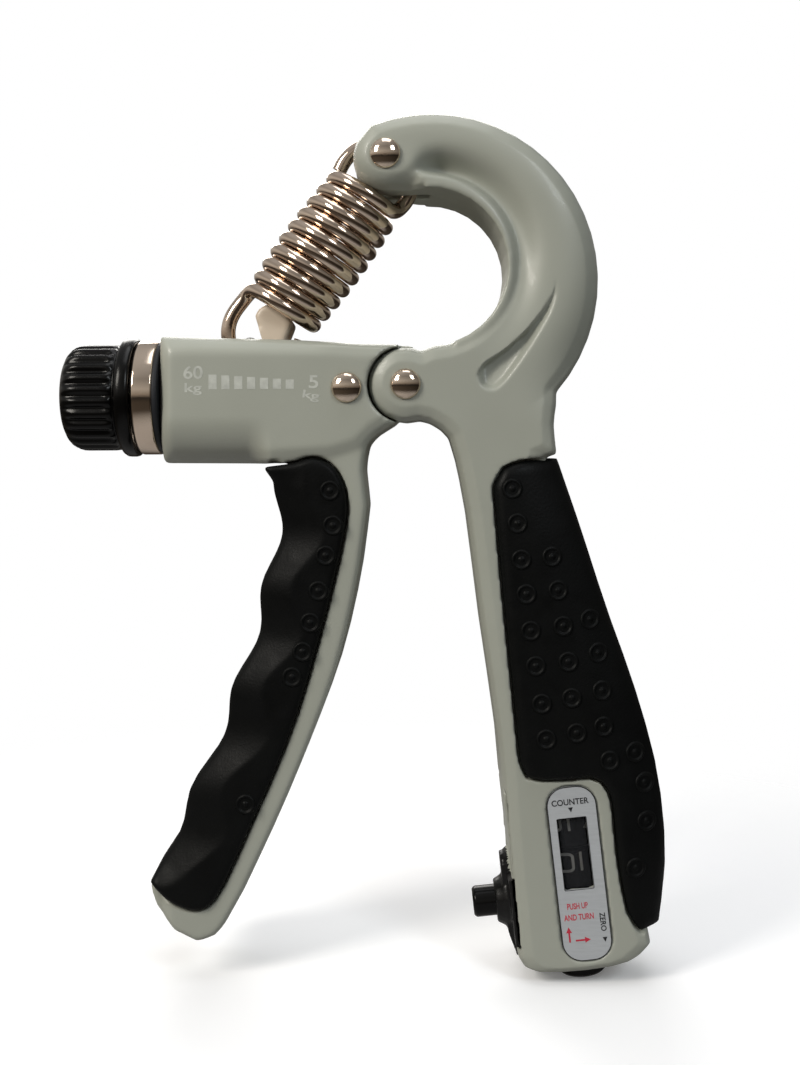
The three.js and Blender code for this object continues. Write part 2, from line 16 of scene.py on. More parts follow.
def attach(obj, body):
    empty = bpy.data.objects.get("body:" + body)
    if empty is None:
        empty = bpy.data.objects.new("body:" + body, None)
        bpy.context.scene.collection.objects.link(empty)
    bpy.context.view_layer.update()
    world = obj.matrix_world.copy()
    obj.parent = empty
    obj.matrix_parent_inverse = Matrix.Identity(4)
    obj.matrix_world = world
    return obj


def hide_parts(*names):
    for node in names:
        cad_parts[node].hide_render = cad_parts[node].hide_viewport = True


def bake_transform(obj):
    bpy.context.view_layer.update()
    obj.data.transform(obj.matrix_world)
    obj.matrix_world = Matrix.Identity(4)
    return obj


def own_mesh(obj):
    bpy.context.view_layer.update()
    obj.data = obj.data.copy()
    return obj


MM = 0.001
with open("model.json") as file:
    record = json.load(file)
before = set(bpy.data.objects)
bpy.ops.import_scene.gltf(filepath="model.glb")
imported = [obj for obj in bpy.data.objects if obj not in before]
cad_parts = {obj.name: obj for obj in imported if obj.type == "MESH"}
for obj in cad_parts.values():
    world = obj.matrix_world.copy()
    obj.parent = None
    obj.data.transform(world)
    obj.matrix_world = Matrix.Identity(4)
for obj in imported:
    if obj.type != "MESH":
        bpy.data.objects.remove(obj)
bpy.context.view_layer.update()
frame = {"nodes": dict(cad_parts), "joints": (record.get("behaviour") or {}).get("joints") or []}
joints = {joint["name"]: joint for joint in frame["joints"]}
PIVOT = np.array(joints["squeeze"]["pos_m"]) / MM
# The counter's own axes: their tilt and origin. Its drums' axle is given by X and Y in them.
TILT = math.radians(6.3)
COUNTER = np.array([31.6, 0, -88.9])
DRUM_AXIS = np.array([-0.6, -2.7])
# A radius that stands for a point on the axis of a turned piece.
POINT = 1e-3


def placed(name, data):
    """A new object in the scene."""
    obj = bpy.data.objects.new(name, data)
    bpy.context.scene.collection.objects.link(obj)
    return obj


# ---------- materials ----------
NOISE_LOW, NOISE_HIGH = 0.3, 0.7
EDGE_LOW, EDGE_HIGH = 0.5, 0.62
COAT_ROUGHNESS = 0.08
GRAIN_DEPTH, LUMP_DEPTH, LUMP_SCALE = 0.00012, 0.0006, 140


def linear(value):
    """An sRGB value from 0 to 255 as linear light."""
    value /= 255
    return value / 12.92 if value <= 0.04045 else ((value + 0.055) / 1.055) ** 2.4


def tone(base, factor, lift=0.0):
    """A colour made lighter or darker, with its alpha."""
    return [min(1, c * factor + lift) for c in base] + [1]


def map_range(nodes, links, value, source, target):
    """A Map Range node from one pair of limits to another."""
    node = nodes.new("ShaderNodeMapRange")
    node.inputs["From Min"].default_value, node.inputs["From Max"].default_value = source
    node.inputs["To Min"].default_value, node.inputs["To Max"].default_value = target
    links.new(value, node.inputs["Value"])
    return node


def surface(name, rgb, roughness, metallic=0.0, coat=0.0, mottle=0.06, mottle_scale=60, grain=0.1,
            grain_scale=2600, wear=0.0, streaks=(1, 1, 1), alpha=1.0, lumps=0.0, specular=0.5):
    """A procedural surface: mottled colour, uneven gloss and a fine moulded or ground grain."""
    material = bpy.data.materials.new(name)
    material.use_nodes = True
    nodes, links = material.node_tree.nodes, material.node_tree.links
    shader = nodes["Principled BSDF"]
    shader.inputs["Metallic"].default_value = metallic
    shader.inputs["Coat Weight"].default_value = coat
    shader.inputs["Coat Roughness"].default_value = COAT_ROUGHNESS
    shader.inputs["Alpha"].default_value = alpha
    shader.inputs["Specular IOR Level"].default_value = specular
    place = nodes.new("ShaderNodeTexCoord")
    stretch = nodes.new("ShaderNodeMapping")
    stretch.inputs["Scale"].default_value = streaks
    links.new(place.outputs["Object"], stretch.inputs["Vector"])

    def noise(scale, detail=3.0):
        node = nodes.new("ShaderNodeTexNoise")
        node.inputs["Scale"].default_value = scale
        node.inputs["Detail"].default_value = detail
        links.new(stretch.outputs["Vector"], node.inputs["Vector"])
        return node.outputs["Fac"]

    def bump(height, strength, depth):
        node = nodes.new("ShaderNodeBump")
        node.inputs["Strength"].default_value = strength
        node.inputs["Distance"].default_value = depth
        links.new(height, node.inputs["Height"])
        return node

    base = [linear(value) for value in rgb]
    mottling = nodes.new("ShaderNodeValToRGB")
    dark, light = mottling.color_ramp.elements
    dark.position, light.position = NOISE_LOW, NOISE_HIGH
    dark.color, light.color = tone(base, 1 - mottle), tone(base, 1 + mottle)
    links.new(noise(mottle_scale), mottling.inputs["Fac"])
    colour = mottling.outputs["Color"]
    if wear:
        edges = nodes.new("ShaderNodeNewGeometry")
        edge = map_range(nodes, links, edges.outputs["Pointiness"], (EDGE_LOW, EDGE_HIGH), (0, wear))
        mix = nodes.new("ShaderNodeMix")
        mix.data_type = "RGBA"
        mix.inputs["B"].default_value = tone(base, 1.5, 0.02)
        links.new(edge.outputs["Result"], mix.inputs["Factor"])
        links.new(colour, mix.inputs["A"])
        colour = mix.outputs["Result"]
    links.new(colour, shader.inputs["Base Color"])

    gloss = map_range(nodes, links, noise(mottle_scale * 3.1), (NOISE_LOW, NOISE_HIGH),
                      (roughness * 0.85, min(1, roughness * 1.18)))
    links.new(gloss.outputs["Result"], shader.inputs["Roughness"])

    fine = bump(noise(grain_scale, 2.0), grain, GRAIN_DEPTH)
    if lumps:
        broad = bump(noise(LUMP_SCALE, 1.0), lumps, LUMP_DEPTH)
        links.new(broad.outputs["Normal"], fine.inputs["Normal"])
    links.new(fine.outputs["Normal"], shader.inputs["Normal"])
    return material


GREY = surface("grey_satin_plastic", (160, 163, 153), 0.4, coat=0.1, mottle=0.03, mottle_scale=35,
               grain=0.12, wear=0.1, lumps=0.05)
RUBBER = surface("black_grip_rubber", (10, 11, 11), 0.46, mottle=0.18, mottle_scale=90, grain=0.35,
                 grain_scale=1900, lumps=0.12, specular=0.1)
GLOSS = surface("black_gloss_plastic", (5, 5, 5), 0.22, mottle=0.2, grain=0.06, lumps=0.05, specular=0.2)
CASE = surface("black_case_plastic", (10, 10, 10), 0.3, mottle=0.2, grain=0.15, specular=0.3)
GASKET = surface("dark_grey_gasket", (34, 36, 40), 0.5, specular=0.25, mottle=0.1, grain=0.3)
CHROME = surface("nickel_plate", (222, 204, 186), 0.09, metallic=1, mottle=0.03, grain=0.03, lumps=0.03)
WIRE_CHROME = surface("plated_spring_wire", (216, 197, 180), 0.1, metallic=1, mottle=0.06,
                      mottle_scale=200, grain=0.08, grain_scale=1500, lumps=0.05)
STEEL = surface("ground_steel", (165, 165, 162), 0.32, metallic=1, mottle=0.08, grain=0.25,
                streaks=(1, 1, 6))
CREAM = surface("cream_acetal", (205, 190, 172), 0.38, coat=0.05, mottle=0.05, mottle_scale=120, grain=0.1)
FOIL = surface("silver_label_foil", (188, 192, 196), 0.42, metallic=0.25, mottle=0.05, mottle_scale=300,
               grain=0.15, streaks=(1, 1, 8))
DRUM_BLACK = surface("drum_black", (7, 7, 8), 0.5, specular=0.08, mottle=0.15, grain=0.2)
PRINT_GREY = surface("print_pale_grey", (184, 187, 180), 0.6, mottle=0.12, mottle_scale=700, grain=0.2)
PRINT_WHITE = surface("print_white", (138, 138, 134), 0.5, mottle=0.08, mottle_scale=500, grain=0.1)
PRINT_BLACK = surface("print_black", (26, 26, 30), 0.5, mottle=0.15, mottle_scale=500, grain=0.1)
PRINT_RED = surface("print_red", (190, 44, 66), 0.5, mottle=0.1, mottle_scale=500, grain=0.1)
GLASS = surface("clear_window", (60, 62, 66), 0.1, mottle=0.05, grain=0.02, alpha=0.16, specular=0.4)


# ---------- mesh helpers ----------
# Metres within which two vertices are one, and the number of corners from which a face is an end cap
# and stays flat.
SAME_PLACE, END_CAP = 1e-7, 8


def to_world(points):
    return (np.asarray(points, float) + PIVOT) * MM


def counter_point(points):
    """From the counter's own axes into local coordinates."""
    p = np.asarray(points, float).reshape(-1, 3)
    x = p[:, 0] * math.cos(TILT) - p[:, 2] * math.sin(TILT)
    z = p[:, 0] * math.sin(TILT) + p[:, 2] * math.cos(TILT)
    return np.stack([x, p[:, 1], z], 1) + COUNTER


def to_counter(points):
    """From local coordinates into the counter's own axes."""
    p = np.asarray(points, float).reshape(-1, 3) - COUNTER
    x = p[:, 0] * math.cos(TILT) + p[:, 2] * math.sin(TILT)
    z = p[:, 2] * math.cos(TILT) - p[:, 0] * math.sin(TILT)
    return np.stack([x, p[:, 1], z], 1)


def piece(name, points, faces, material, body, replaces=(), flat=False):
    """A mesh object from local points in millimetres, riding on a body if one is named."""
    mesh = bpy.data.meshes.new(name)
    mesh.from_pydata([tuple(p) for p in to_world(points)], [], [tuple(f) for f in faces])
    form = bmesh.new()
    form.from_mesh(mesh)
    bmesh.ops.remove_doubles(form, verts=form.verts, dist=SAME_PLACE)
    bmesh.ops.recalc_face_normals(form, faces=form.faces)
    form.to_mesh(mesh)
    form.free()
    mesh.polygons.foreach_set("use_smooth", [not flat and len(p.vertices) < END_CAP for p in mesh.polygons])
    mesh.materials.append(material)
    obj = placed(name, mesh)
    if replaces:
        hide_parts(*replaces)
    if body:
        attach(obj, body)
    return obj


def grid_faces(rows, columns, close_rows=False):
    """Quads between rows of points. Each row is a closed ring, and the rows may close as well."""
    faces = []
    for i in range(rows if close_rows else rows - 1):
        for j in range(columns):
            a, b = i * columns + j, i * columns + (j + 1) % columns
            up = ((i + 1) % rows) * columns
            faces.append((a, b, up + (j + 1) % columns, up + j))
    return faces


# The part of a side that the rounding of one corner may take.
SHARE = 0.45


def soften(profile, radius=0.2, steps=3):
    """Rounds the corners of an open profile of [radius, along] points."""
    out = [profile[0]]
    for before, here, after in zip(profile, profile[1:], profile[2:]):
        here = np.array(here, float)
        to_before, to_after = np.array(before) - here, np.array(after) - here
        lengths = np.linalg.norm(to_before), np.linalg.norm(to_after)
        cut = min(radius, lengths[0] * SHARE, lengths[1] * SHARE)
        a, b = here + to_before / lengths[0] * cut, here + to_after / lengths[1] * cut
        for t in np.linspace(0, 1, steps + 1):
            out.append(tuple((1 - t) ** 2 * a + 2 * t * (1 - t) * here + t * t * b))
    out.append(profile[-1])
    return out


def turned(name, axis, centre, profile, material, body, replaces=(), segments=72, rounding=0.2,
           frame_of=None, closed=False):
    """A turned piece. Profile points are [radius, place along the axis], given in frame_of's axes."""
    rows = soften(list(profile) + [profile[0]], rounding)[1:-1] if closed else soften(profile, rounding)
    angles = np.linspace(0, 2 * math.pi, segments, endpoint=False)
    points = []
    for radius, along in rows:
        for angle in angles:
            a, b = centre[0] + radius * math.cos(angle), centre[1] + radius * math.sin(angle)
            points.append({"x": (along, a, b), "y": (a, along, b), "z": (a, b, along)}[axis])
    if frame_of is not None:
        points = frame_of(points)
    return piece(name, points, grid_faces(len(rows), segments, close_rows=closed), material, body, replaces)


def wire_frames(centres, normal=None):
    """Unit tangents along a path, with normals that twist as little as they can."""
    tangents = np.gradient(centres, axis=0)
    tangents /= np.linalg.norm(tangents, axis=1)[:, None]
    if normal is None:
        normal = np.cross(tangents[0], [0.3, 0.9, 0.2])
    normals = []
    for tangent in tangents:
        normal = normal - tangent * normal.dot(tangent)
        normal /= np.linalg.norm(normal)
        normals.append(normal.copy())
    return tangents, normals


def tube(name, centres, tangents, normals, radius, material, sides=20):
    """A wire along a path, closed by a flat face at each end."""
    angles = np.linspace(0, 2 * math.pi, sides, endpoint=False)
    points, outward = [], []
    for centre, tangent, normal in zip(centres, tangents, normals):
        side = np.cross(tangent, normal)
        outward.extend(math.cos(a) * normal + math.sin(a) * side for a in angles)
        points.extend(centre + radius * direction for direction in outward[-sides:])
    faces = grid_faces(len(centres), sides)
    faces.append(tuple(range(sides)))
    faces.append(tuple(range((len(centres) - 1) * sides, len(centres) * sides)))
    obj = piece(name, points, faces, material, None)
    # The wire's own normals, so that lengths of one wire shade as one where they meet.
    obj.data.normals_split_custom_set_from_vertices(outward)
    return obj


def remeshed(node, name, voxel, smoothing, material, body, change):
    """A fine copy of a CAD solid: one even skin, softened edges, then changed point by point."""
    obj = placed(name, frame["nodes"][node].data.copy())
    modifier = obj.modifiers.new("remesh", "REMESH")
    modifier.mode = "VOXEL"
    modifier.voxel_size = voxel * MM
    modifier.use_smooth_shade = True
    smooth = obj.modifiers.new("smooth", "SMOOTH")
    smooth.factor = 0.5
    smooth.iterations = smoothing
    graph = bpy.context.evaluated_depsgraph_get()
    fine = bpy.data.meshes.new_from_object(obj.evaluated_get(graph))
    obj.modifiers.clear()
    obj.data = fine
    points = np.empty(len(fine.vertices) * 3)
    fine.vertices.foreach_get("co", points)
    points = change(points.reshape(-1, 3) / MM - PIVOT)
    fine.vertices.foreach_set("co", to_world(points).ravel())
    fine.update()
    fine.polygons.foreach_set("use_smooth", [True] * len(fine.polygons))
    fine.materials.clear()
    fine.materials.append(material)
    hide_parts(node)
    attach(obj, body)
    return obj


def ramp(value, low, high):
    """A smooth step from 0 at low to 1 at high."""
    t = np.clip((np.asarray(value, float) - low) / (high - low), 0, 1)
    return t * t * (3 - 2 * t)


def distance_to_line(x, z, line):
    """Distance from each point to an open polyline in X and Z."""
    line = np.asarray(line, float)
    best = np.full(np.shape(x), 1e9)
    for a, b in zip(line, line[1:]):
        along = b - a
        t = np.clip(((x - a[0]) * along[0] + (z - a[1]) * along[1]) / along.dot(along), 0, 1)
        best = np.minimum(best, np.hypot(x - a[0] - t * along[0], z - a[1] - t * along[1]))
    return best


def spline(points, steps):
    """A uniform Catmull-Rom curve through points in X and Z."""
    p = np.asarray(points, float)
    p = np.vstack([2 * p[0] - p[1], p, 2 * p[-1] - p[-2]])
    out = []
    for i in range(steps + 1):
        t = (len(p) - 3) * i / steps
        k = min(int(t), len(p) - 4)
        t -= k
        a, b, c, d = p[k:k + 4]
        square, cube = 2 * a - 5 * b + 4 * c - d, 3 * b - a - 3 * c + d
        out.append(0.5 * (2 * b + (c - a) * t + square * t * t + cube * t ** 3))
    return np.array(out)


# ---------- main handle ----------
FRAME_HALF = 10.8
HOOK_X, HOOK_Z = 4.5, 22.3
EAR_X, EAR_Z = -3.6, 43.6
# The valley along the C's bore, by angle in degrees: its depth, middle radius and outer half width.
VALLEY_DEPTH = [-62, -35, 0, 35, 65, 88, 120], [0, 0.7, 1.9, 3.0, 3.8, 4.6, 4.6]
VALLEY_MIDDLE = [0, 45, 80, 100], [17.5, 18.3, 18.8, 18.9]
VALLEY_OUTER, VALLEY_INNER = ([50, 88], [3.1, 2.4]), 1.25
CROWN_DEPTH, CROWN_FROM, CROWN_REACH = 2.6, 24.5, 7.5
EAR_DEPTH, EAR_FROM, EAR_REACH = 2.4, 3.4, 3.6
DEEPEST = 6
# The foot's underside is lifted below this height, between these depths in the counter's axes.
FOOT_LIFT, FOOT_BELOW, FOOT_DEPTHS = 1.3, -100, (20.6, 24.6)
PALM = spline([[28.9, -14.2], [33.2, -27.1], [38.2, -42.8], [43.6, -58.4], [47.7, -74], [49.2, -89.6],
               [47.9, -103]], 40)
SCOOP_EDGE = spline([[28.4, 19.6], [27.6, 16.6], [25.6, 13.4], [22.5, 9.8], [18.9, 6.6], [14.9, 3.8],
                     [13.2, 1.6]], 40)
SCOOP_SLOPE = spline([[28.7, 19.4], [28.6, 16.6], [27.6, 13.4], [25.6, 9.8], [23.3, 6.2], [20.8, 2.6],
                      [18.5, -0.2], [16.5, -1.4], [14.4, -0.6], [13.2, 1.6]], 60)
SCOOP_OUTLINE = np.vstack([SCOOP_EDGE, SCOOP_SLOPE[::-1]])
SCOOP_DEPTH, SCOOP_REACH = 2.5, 1.5
# Only points this far from the middle plane belong to a face of the main handle.
FACE_FROM = 7.5


def inside(x, z, outline):
    """Which points lie inside a closed outline."""
    odd = np.zeros(np.shape(x), bool)
    for a, b in zip(outline, np.roll(outline, -1, axis=0)):
        if a[1] != b[1]:
            odd ^= ((a[1] > z) != (b[1] > z)) & (x < (b[0] - a[0]) * (z - a[1]) / (b[1] - a[1]) + a[0])
    return odd


def scoop(x, z):
    """The drop-shaped hollow: a steep upper left side, and a floor which rises to the lower right."""
    to_edge, to_slope = distance_to_line(x, z, SCOOP_EDGE), distance_to_line(x, z, SCOOP_SLOPE)
    wide = to_edge + to_slope + 1e-6
    rise = 0.4 * ramp(to_slope, 0, 1.3) + 0.6 * to_slope / wide
    depth = np.minimum(SCOOP_DEPTH, 0.85 * wide) * rise * np.clip(to_edge / 0.5, 0, 1)
    return np.where(inside(x, z, SCOOP_OUTLINE), depth, 0)


def hollow_main(x, z):
    """How far each face of the main handle sinks, in millimetres."""
    r = np.hypot(x - HOOK_X, z - HOOK_Z)
    angle = np.degrees(np.arctan2(z - HOOK_Z, x - HOOK_X))
    from_ear = np.hypot(x - EAR_X, z - EAR_Z)
    # The valley between the round C and the lip along its bore, deep beside the ear.
    depth, middle = np.interp(angle, *VALLEY_DEPTH), np.interp(angle, *VALLEY_MIDDLE)
    width = np.where(r < middle, VALLEY_INNER, np.interp(angle, *VALLEY_OUTER))
    valley = depth * np.exp(-((r - middle) / width) ** 2) * ramp(from_ear, 4.6, 11.5)
    # The outer side of the C rounds away from its face.
    crown_on = ramp(angle, -58, -25) * ramp(-angle, -125, -100)
    crown = crown_on * (CROWN_DEPTH * np.clip((r - CROWN_FROM) / CROWN_REACH, 0, 1.1) ** 2.2)
    # So does the ear's free side, around its rivet.
    free_side = ramp(EAR_X + EAR_Z - x - z, -3.5, 3.5)
    ear = EAR_DEPTH * np.clip((from_ear - EAR_FROM) / EAR_REACH, 0, 1.2) ** 2
    ear = ear * free_side * ramp(-from_ear, -9.5, -6.8)
    return np.clip(valley + crown + ear, 0, DEEPEST)


def shape_main(p):
    """The scoops, the sunk faces, and a foot whose underside sits a little above the reset button's."""
    x, y, z = p[:, 0], p[:, 1], p[:, 2]
    near = distance_to_line(x, z, SCOOP_OUTLINE) < SCOOP_REACH
    scooped = (np.abs(y) > FACE_FROM) & (near | inside(x, z, SCOOP_OUTLINE))
    y = np.where(scooped, np.sign(y) * (FRAME_HALF - scoop(x, z)), y)
    y = y * (1 - hollow_main(x, z) / FRAME_HALF)
    foot = to_counter(np.stack([x, y, z], 1))
    foot[:, 2] += FOOT_LIFT * ramp(-foot[:, 2], *FOOT_DEPTHS)
    return np.where((z < FOOT_BELOW)[:, None], counter_point(foot), np.stack([x, y, z], 1))


remeshed("main_frame", "main_handle", 0.4, 5, GREY, "handle", shape_main)


# ---------- rubber grips ----------
GRIP_HALF, LEVER_HALF = 12.2, 11.6
PALM_DEPTH, PALM_REACH, PALM_TOP = 4.2, 11, 0.5
FINGER_PITCH, FINGER_START, FINGER_DEPTH, FINGER_REACH = 19.2, 28.6, 3.4, 7.6
FINGERS = spline([[-24.9, -18.4], [-25.4, -28], [-28.4, -42], [-33, -57], [-39.2, -72.5], [-47.9, -90.5]],
                 60)


def hollow_grip(x, z):
    """The palm side of the main grip rounds away from its flat face."""
    d = distance_to_line(x, z, PALM)
    return PALM_DEPTH * np.clip(1 - d / PALM_REACH, 0, 1) ** 2 + PALM_TOP * ramp(z, -30, -14)


def hollow_lever_grip(x, z):
    """A hollow for each finger, which runs out on the face in a soft scalloped edge."""
    d = distance_to_line(x, z, FINGERS)
    wave = np.cos(2 * math.pi * (z + FINGER_START) / FINGER_PITCH)
    reach = FINGER_REACH + 2.2 * wave
    hollow = (FINGER_DEPTH + 0.9 * wave) * np.clip(1 - d / reach, 0, 1) ** 1.15
    return hollow * ramp(-z, 14, 22) + 0.25


def sink(half, hollow):
    """A change of shape that draws both faces in by hollow(x, z)."""
    return lambda p: np.stack([p[:, 0], p[:, 1] * (1 - hollow(p[:, 0], p[:, 2]) / half), p[:, 2]], 1)


remeshed("main_grip", "palm_grip", 0.5, 4, RUBBER, "handle", sink(GRIP_HALF, hollow_grip))
remeshed("lever_grip", "finger_grip", 0.5, 4, RUBBER, "lever", sink(LEVER_HALF, hollow_lever_grip))


def studs(name, places, half, hollow, body):
    """Small moulded rings, each with a dot, standing a little proud of both faces of a grip."""
    rows = [(0.0, 0.28), (0.3, 0.26), (0.5, 0.12), (0.65, 0.0), (1.1, -0.04), (1.3, 0.06), (1.45, 0.26),
            (1.6, 0.31), (1.75, 0.26), (1.92, 0.06), (2.1, -0.25)]
    segments, root, middle = 28, 0.3, 0.01
    points, faces = [], []

    def face(x, z):
        return half - float(hollow(np.array(x), np.array(z)))

    for side in (-1, 1):
        for x0, z0 in places:
            start = len(points)
            for r, h in rows:
                for k in range(segments):
                    a = 2 * math.pi * k / segments
                    x, z = x0 + max(r, middle) * math.cos(a), z0 + max(r, middle) * math.sin(a)
                    points.append((x, side * (face(x, z) + h), z))
            points.append((x0, side * (face(x0, z0) - root), z0))
            faces.extend(tuple(start + i for i in f) for f in grid_faces(len(rows), segments))
            last = start + (len(rows) - 1) * segments
            faces.extend((last + k, last + (k + 1) % segments, len(points) - 1) for k in range(segments))
            faces.append(tuple(start + k for k in range(segments)))
    piece(name, points, faces, RUBBER, body)


MAIN_STUDS = [
    (20.0, -19.9), (20.9, -26.4), (21.6, -33.2), (22.5, -39.7), (23.3, -46.6), (24.2, -53.2),
    (25.3, -60.3), (26.1, -67),
    (27.4, -32.7), (28.5, -39), (29.4, -45.7), (30.3, -52.4), (30.9, -59.2), (31.8, -65.8),
    (34.6, -44.6), (36.1, -50.9), (36.7, -57.9), (36.9, -64.6), (38.0, -71),
    (43.0, -69.7), (44.8, -75.5), (45.1, -82.7), (42.9, -91.3),
]
LEVER_STUDS = [
    (-14.4, -20.1), (-13.9, -26.7), (-15.3, -32.4), (-16.7, -39.1), (-18.3, -45.1), (-19.8, -50.6),
    (-21.8, -55.4), (-30.8, -79.6),
]
studs("palm_grip_studs", MAIN_STUDS, GRIP_HALF, hollow_grip, "handle")
studs("finger_grip_studs", LEVER_STUDS, LEVER_HALF, hollow_lever_grip, "lever")


# ---------- lever ----------
BARREL_Z, BARREL_HALF = -1.8, 11
ANCHOR_X, ANCHOR_Z = -30.3, 7.7
TOP_ROUNDING, MOUTH_ROUNDING, SHELL_FROM = 1.5, 1.3, 5.5


def shape_lever(p):
    """The barrel turns under along its lower side and is rounded at its mouth and along its top."""
    x, y, z = p[:, 0], p[:, 1], p[:, 2]
    low = 0.9 * np.clip((-5.8 - z) / 9, 0, 1)
    under = (1 - np.sqrt(1 - low ** 2)) * ramp(-x, 25.5, 30.5) * ramp(z, -17, -15.5)
    top = TOP_ROUNDING * np.clip((z - 5.2) / 4.4, 0, 1) ** 2 * ramp(-x, 13, 19)
    mouth = MOUTH_ROUNDING * np.clip((-44.8 - x) / 2.5, 0, 1) ** 2
    outer = np.clip((np.abs(y) - SHELL_FROM) / SHELL_FROM, 0, 1)
    y = np.sign(y) * (np.abs(y) - outer * (top + mouth)) * (1 - under)
    return np.stack([x, y, z], 1)


remeshed("lever_frame", "lever_moulding", 0.45, 5, GREY, "lever", shape_lever)


# ---------- rivets ----------
RIVET_RADIUS, RIVET_DOME, RIVET_SHANK, RIVET_LIFT = 2.9, 1.55, 2.0, 0.05


def rivet(name, node, x, z, face, body):
    """A rivet through the part, with a dome on each face."""
    dome = [(RIVET_RADIUS * math.cos(a), RIVET_DOME * math.sin(a)) for a in np.linspace(0, math.pi / 2, 12)]
    top = [(r, face + RIVET_LIFT + s) for r, s in dome]
    bottom = [(r, -face - RIVET_LIFT - s) for r, s in reversed(dome)]
    shank = [(RIVET_SHANK, -face), (RIVET_SHANK, face)]
    profile = [(POINT, bottom[0][1])] + bottom[1:] + shank + top[:-1] + [(POINT, top[-1][1])]
    turned(name, "y", (x, z), profile, CHROME, body, (node,), segments=48, rounding=0.05)


rivet("rivet_hook", "hook_rivet", EAR_X, EAR_Z, FRAME_HALF, "handle")
rivet("rivet_pivot", "pivot_rivet", 0, 0, FRAME_HALF, "handle")
rivet("rivet_barrel", "barrel_rivet", -11.2, -0.6, BARREL_HALF, "lever")

# ---------- rings, knob and screw ----------
AXIS = (0, BARREL_Z)
turned("mouth_seal", "x", AXIS, [(4, -48.4), (11.15, -48.4), (11.15, -47.4), (4, -47.4)], GASKET, "lever",
       ("seal_ring",), rounding=0.35, closed=True)
turned("polished_collar", "x", AXIS, [(4, -52.5), (11.0, -52.5), (11.3, -52.0), (11.3, -48.6),
                                      (11.0, -48.35), (4, -48.35)],
       CHROME, "lever", ("chrome_collar",), rounding=0.12, closed=True)


def knob():
    """The knob, whose left end is its face and whose right end is its flange and socket."""
    left, right, flutes, flute_depth = -67.5, -52.8, 26, 0.6
    segments = flutes * 14
    rows = [(0.01, left), (2.5, left + 0.02), (5.0, left + 0.1), (6.6, left + 0.3), (7.9, left + 0.65),
            (8.9, left + 1.15), (9.6, left + 1.8), (10.1, left + 2.6), (10.4, left + 3.6)]
    rows += [(10.45, left + 3.6 + i * 0.9) for i in range(1, 8)]
    rows += [(10.35, right - 3.9), (9.9, right - 3.55), (9.85, right - 3.3), (10.6, right - 3.1),
             (11.3, right - 2.7), (11.65, right - 2.2), (11.7, right - 1.6), (11.7, right - 0.8),
             (11.6, right - 0.35), (11.3, right - 0.05), (10.8, right), (2.6, right),
             (2.6, right - 10.4), (0.01, right - 10.4)]
    points = []
    for radius, along in rows:
        outer = float(ramp(along, left + 1.2, left + 3.2) * ramp(-along, -(right - 3.7), -(right - 4.3)))
        fluted = outer * (radius > 8)
        for k in range(segments):
            phase = (k / segments * flutes) % 1
            dip = 0.5 * (1 + math.cos(2 * math.pi * phase))
            r = radius - fluted * flute_depth * dip ** 1.6
            a = 2 * math.pi * k / segments
            points.append((along, r * math.cos(a), BARREL_Z + r * math.sin(a)))
    piece("fluted_knob", points, grid_faces(len(rows), segments), GLOSS, "knob", ("adjust_knob",))


knob()


def thread():
    """The lead screw, with a ridge of half a millimetre that climbs by one pitch in a turn."""
    pitch, start, end, step, segments = 2.0, -63.1, -14.6, 0.25, 24
    outer, ridge, closing = 2.5, 0.5, 0.05
    rows = int((end - start) / step)
    points = []
    for i in range(rows + 1):
        along = start + (end - start) * i / rows
        for k in range(segments):
            a = 2 * math.pi * k / segments
            phase = (along / pitch - k / segments) % 1
            r = outer - ridge * abs(2 * phase - 1)
            r *= closing if i in (0, rows) else 1
            points.append((along, r * math.cos(a), BARREL_Z + r * math.sin(a)))
    piece("threaded_screw", points, grid_faces(rows + 1, segments), STEEL, "knob", ("lead_screw",))


thread()


def shape_post(p):
    """The post's knob side slopes in towards its foot."""
    x, y, z = p[:, 0] - ANCHOR_X, p[:, 1], p[:, 2] - ANCHOR_Z
    edge = 2.4 - 0.3 * (z - 1.35)
    x = np.where(z > 1.2, np.maximum(x, edge), x)
    return np.stack([x + ANCHOR_X, y, z + ANCHOR_Z], 1)


remeshed("slider", "anchor_post", 0.3, 4, CREAM, "slide_block", shape_post)

# ---------- main spring ----------
WIRE, LOOP, LOOP_OFFSET, BEND = 1.45, 7.4, 3.95, 2.2
COIL_START, PITCH, TURNS, END_RADIUS, MID_RADIUS = 9.35, 2.99, 9.5, 6.9, 7.6
ANCHOR = np.array([ANCHOR_X, 0, ANCHOR_Z])
ALONG = np.array([EAR_X, 0, EAR_Z]) - ANCHOR
SPRING_LENGTH = np.linalg.norm(ALONG)
ALONG /= SPRING_LENGTH
ACROSS = np.array([-ALONG[2], 0, ALONG[0]])
# Degrees round the loops at which each tip ends, and at which the wire turns off into the coil.
LOWER_TIP, UPPER_TIP, LOOP_END = 66, 71, 268
# Turns of the coil at which the wire is cut into its lengths.
CUT_TURNS = (2.3, 4.6, 6.9)
WIRE_STEP, WIRE_SMOOTHING = 0.4, 22


def spring_point(u, v, w):
    """A point u along the spring from its anchor, v across it and w to the front."""
    return ANCHOR + u * ALONG + v * ACROSS + np.array([0, -w, 0])


def coil_point(turn):
    angle = 2 * math.pi * turn
    radius = END_RADIUS + (MID_RADIUS - END_RADIUS) * math.sin(math.pi * turn / TURNS)
    return spring_point(COIL_START + PITCH * turn, radius * math.cos(angle), radius * math.sin(angle))


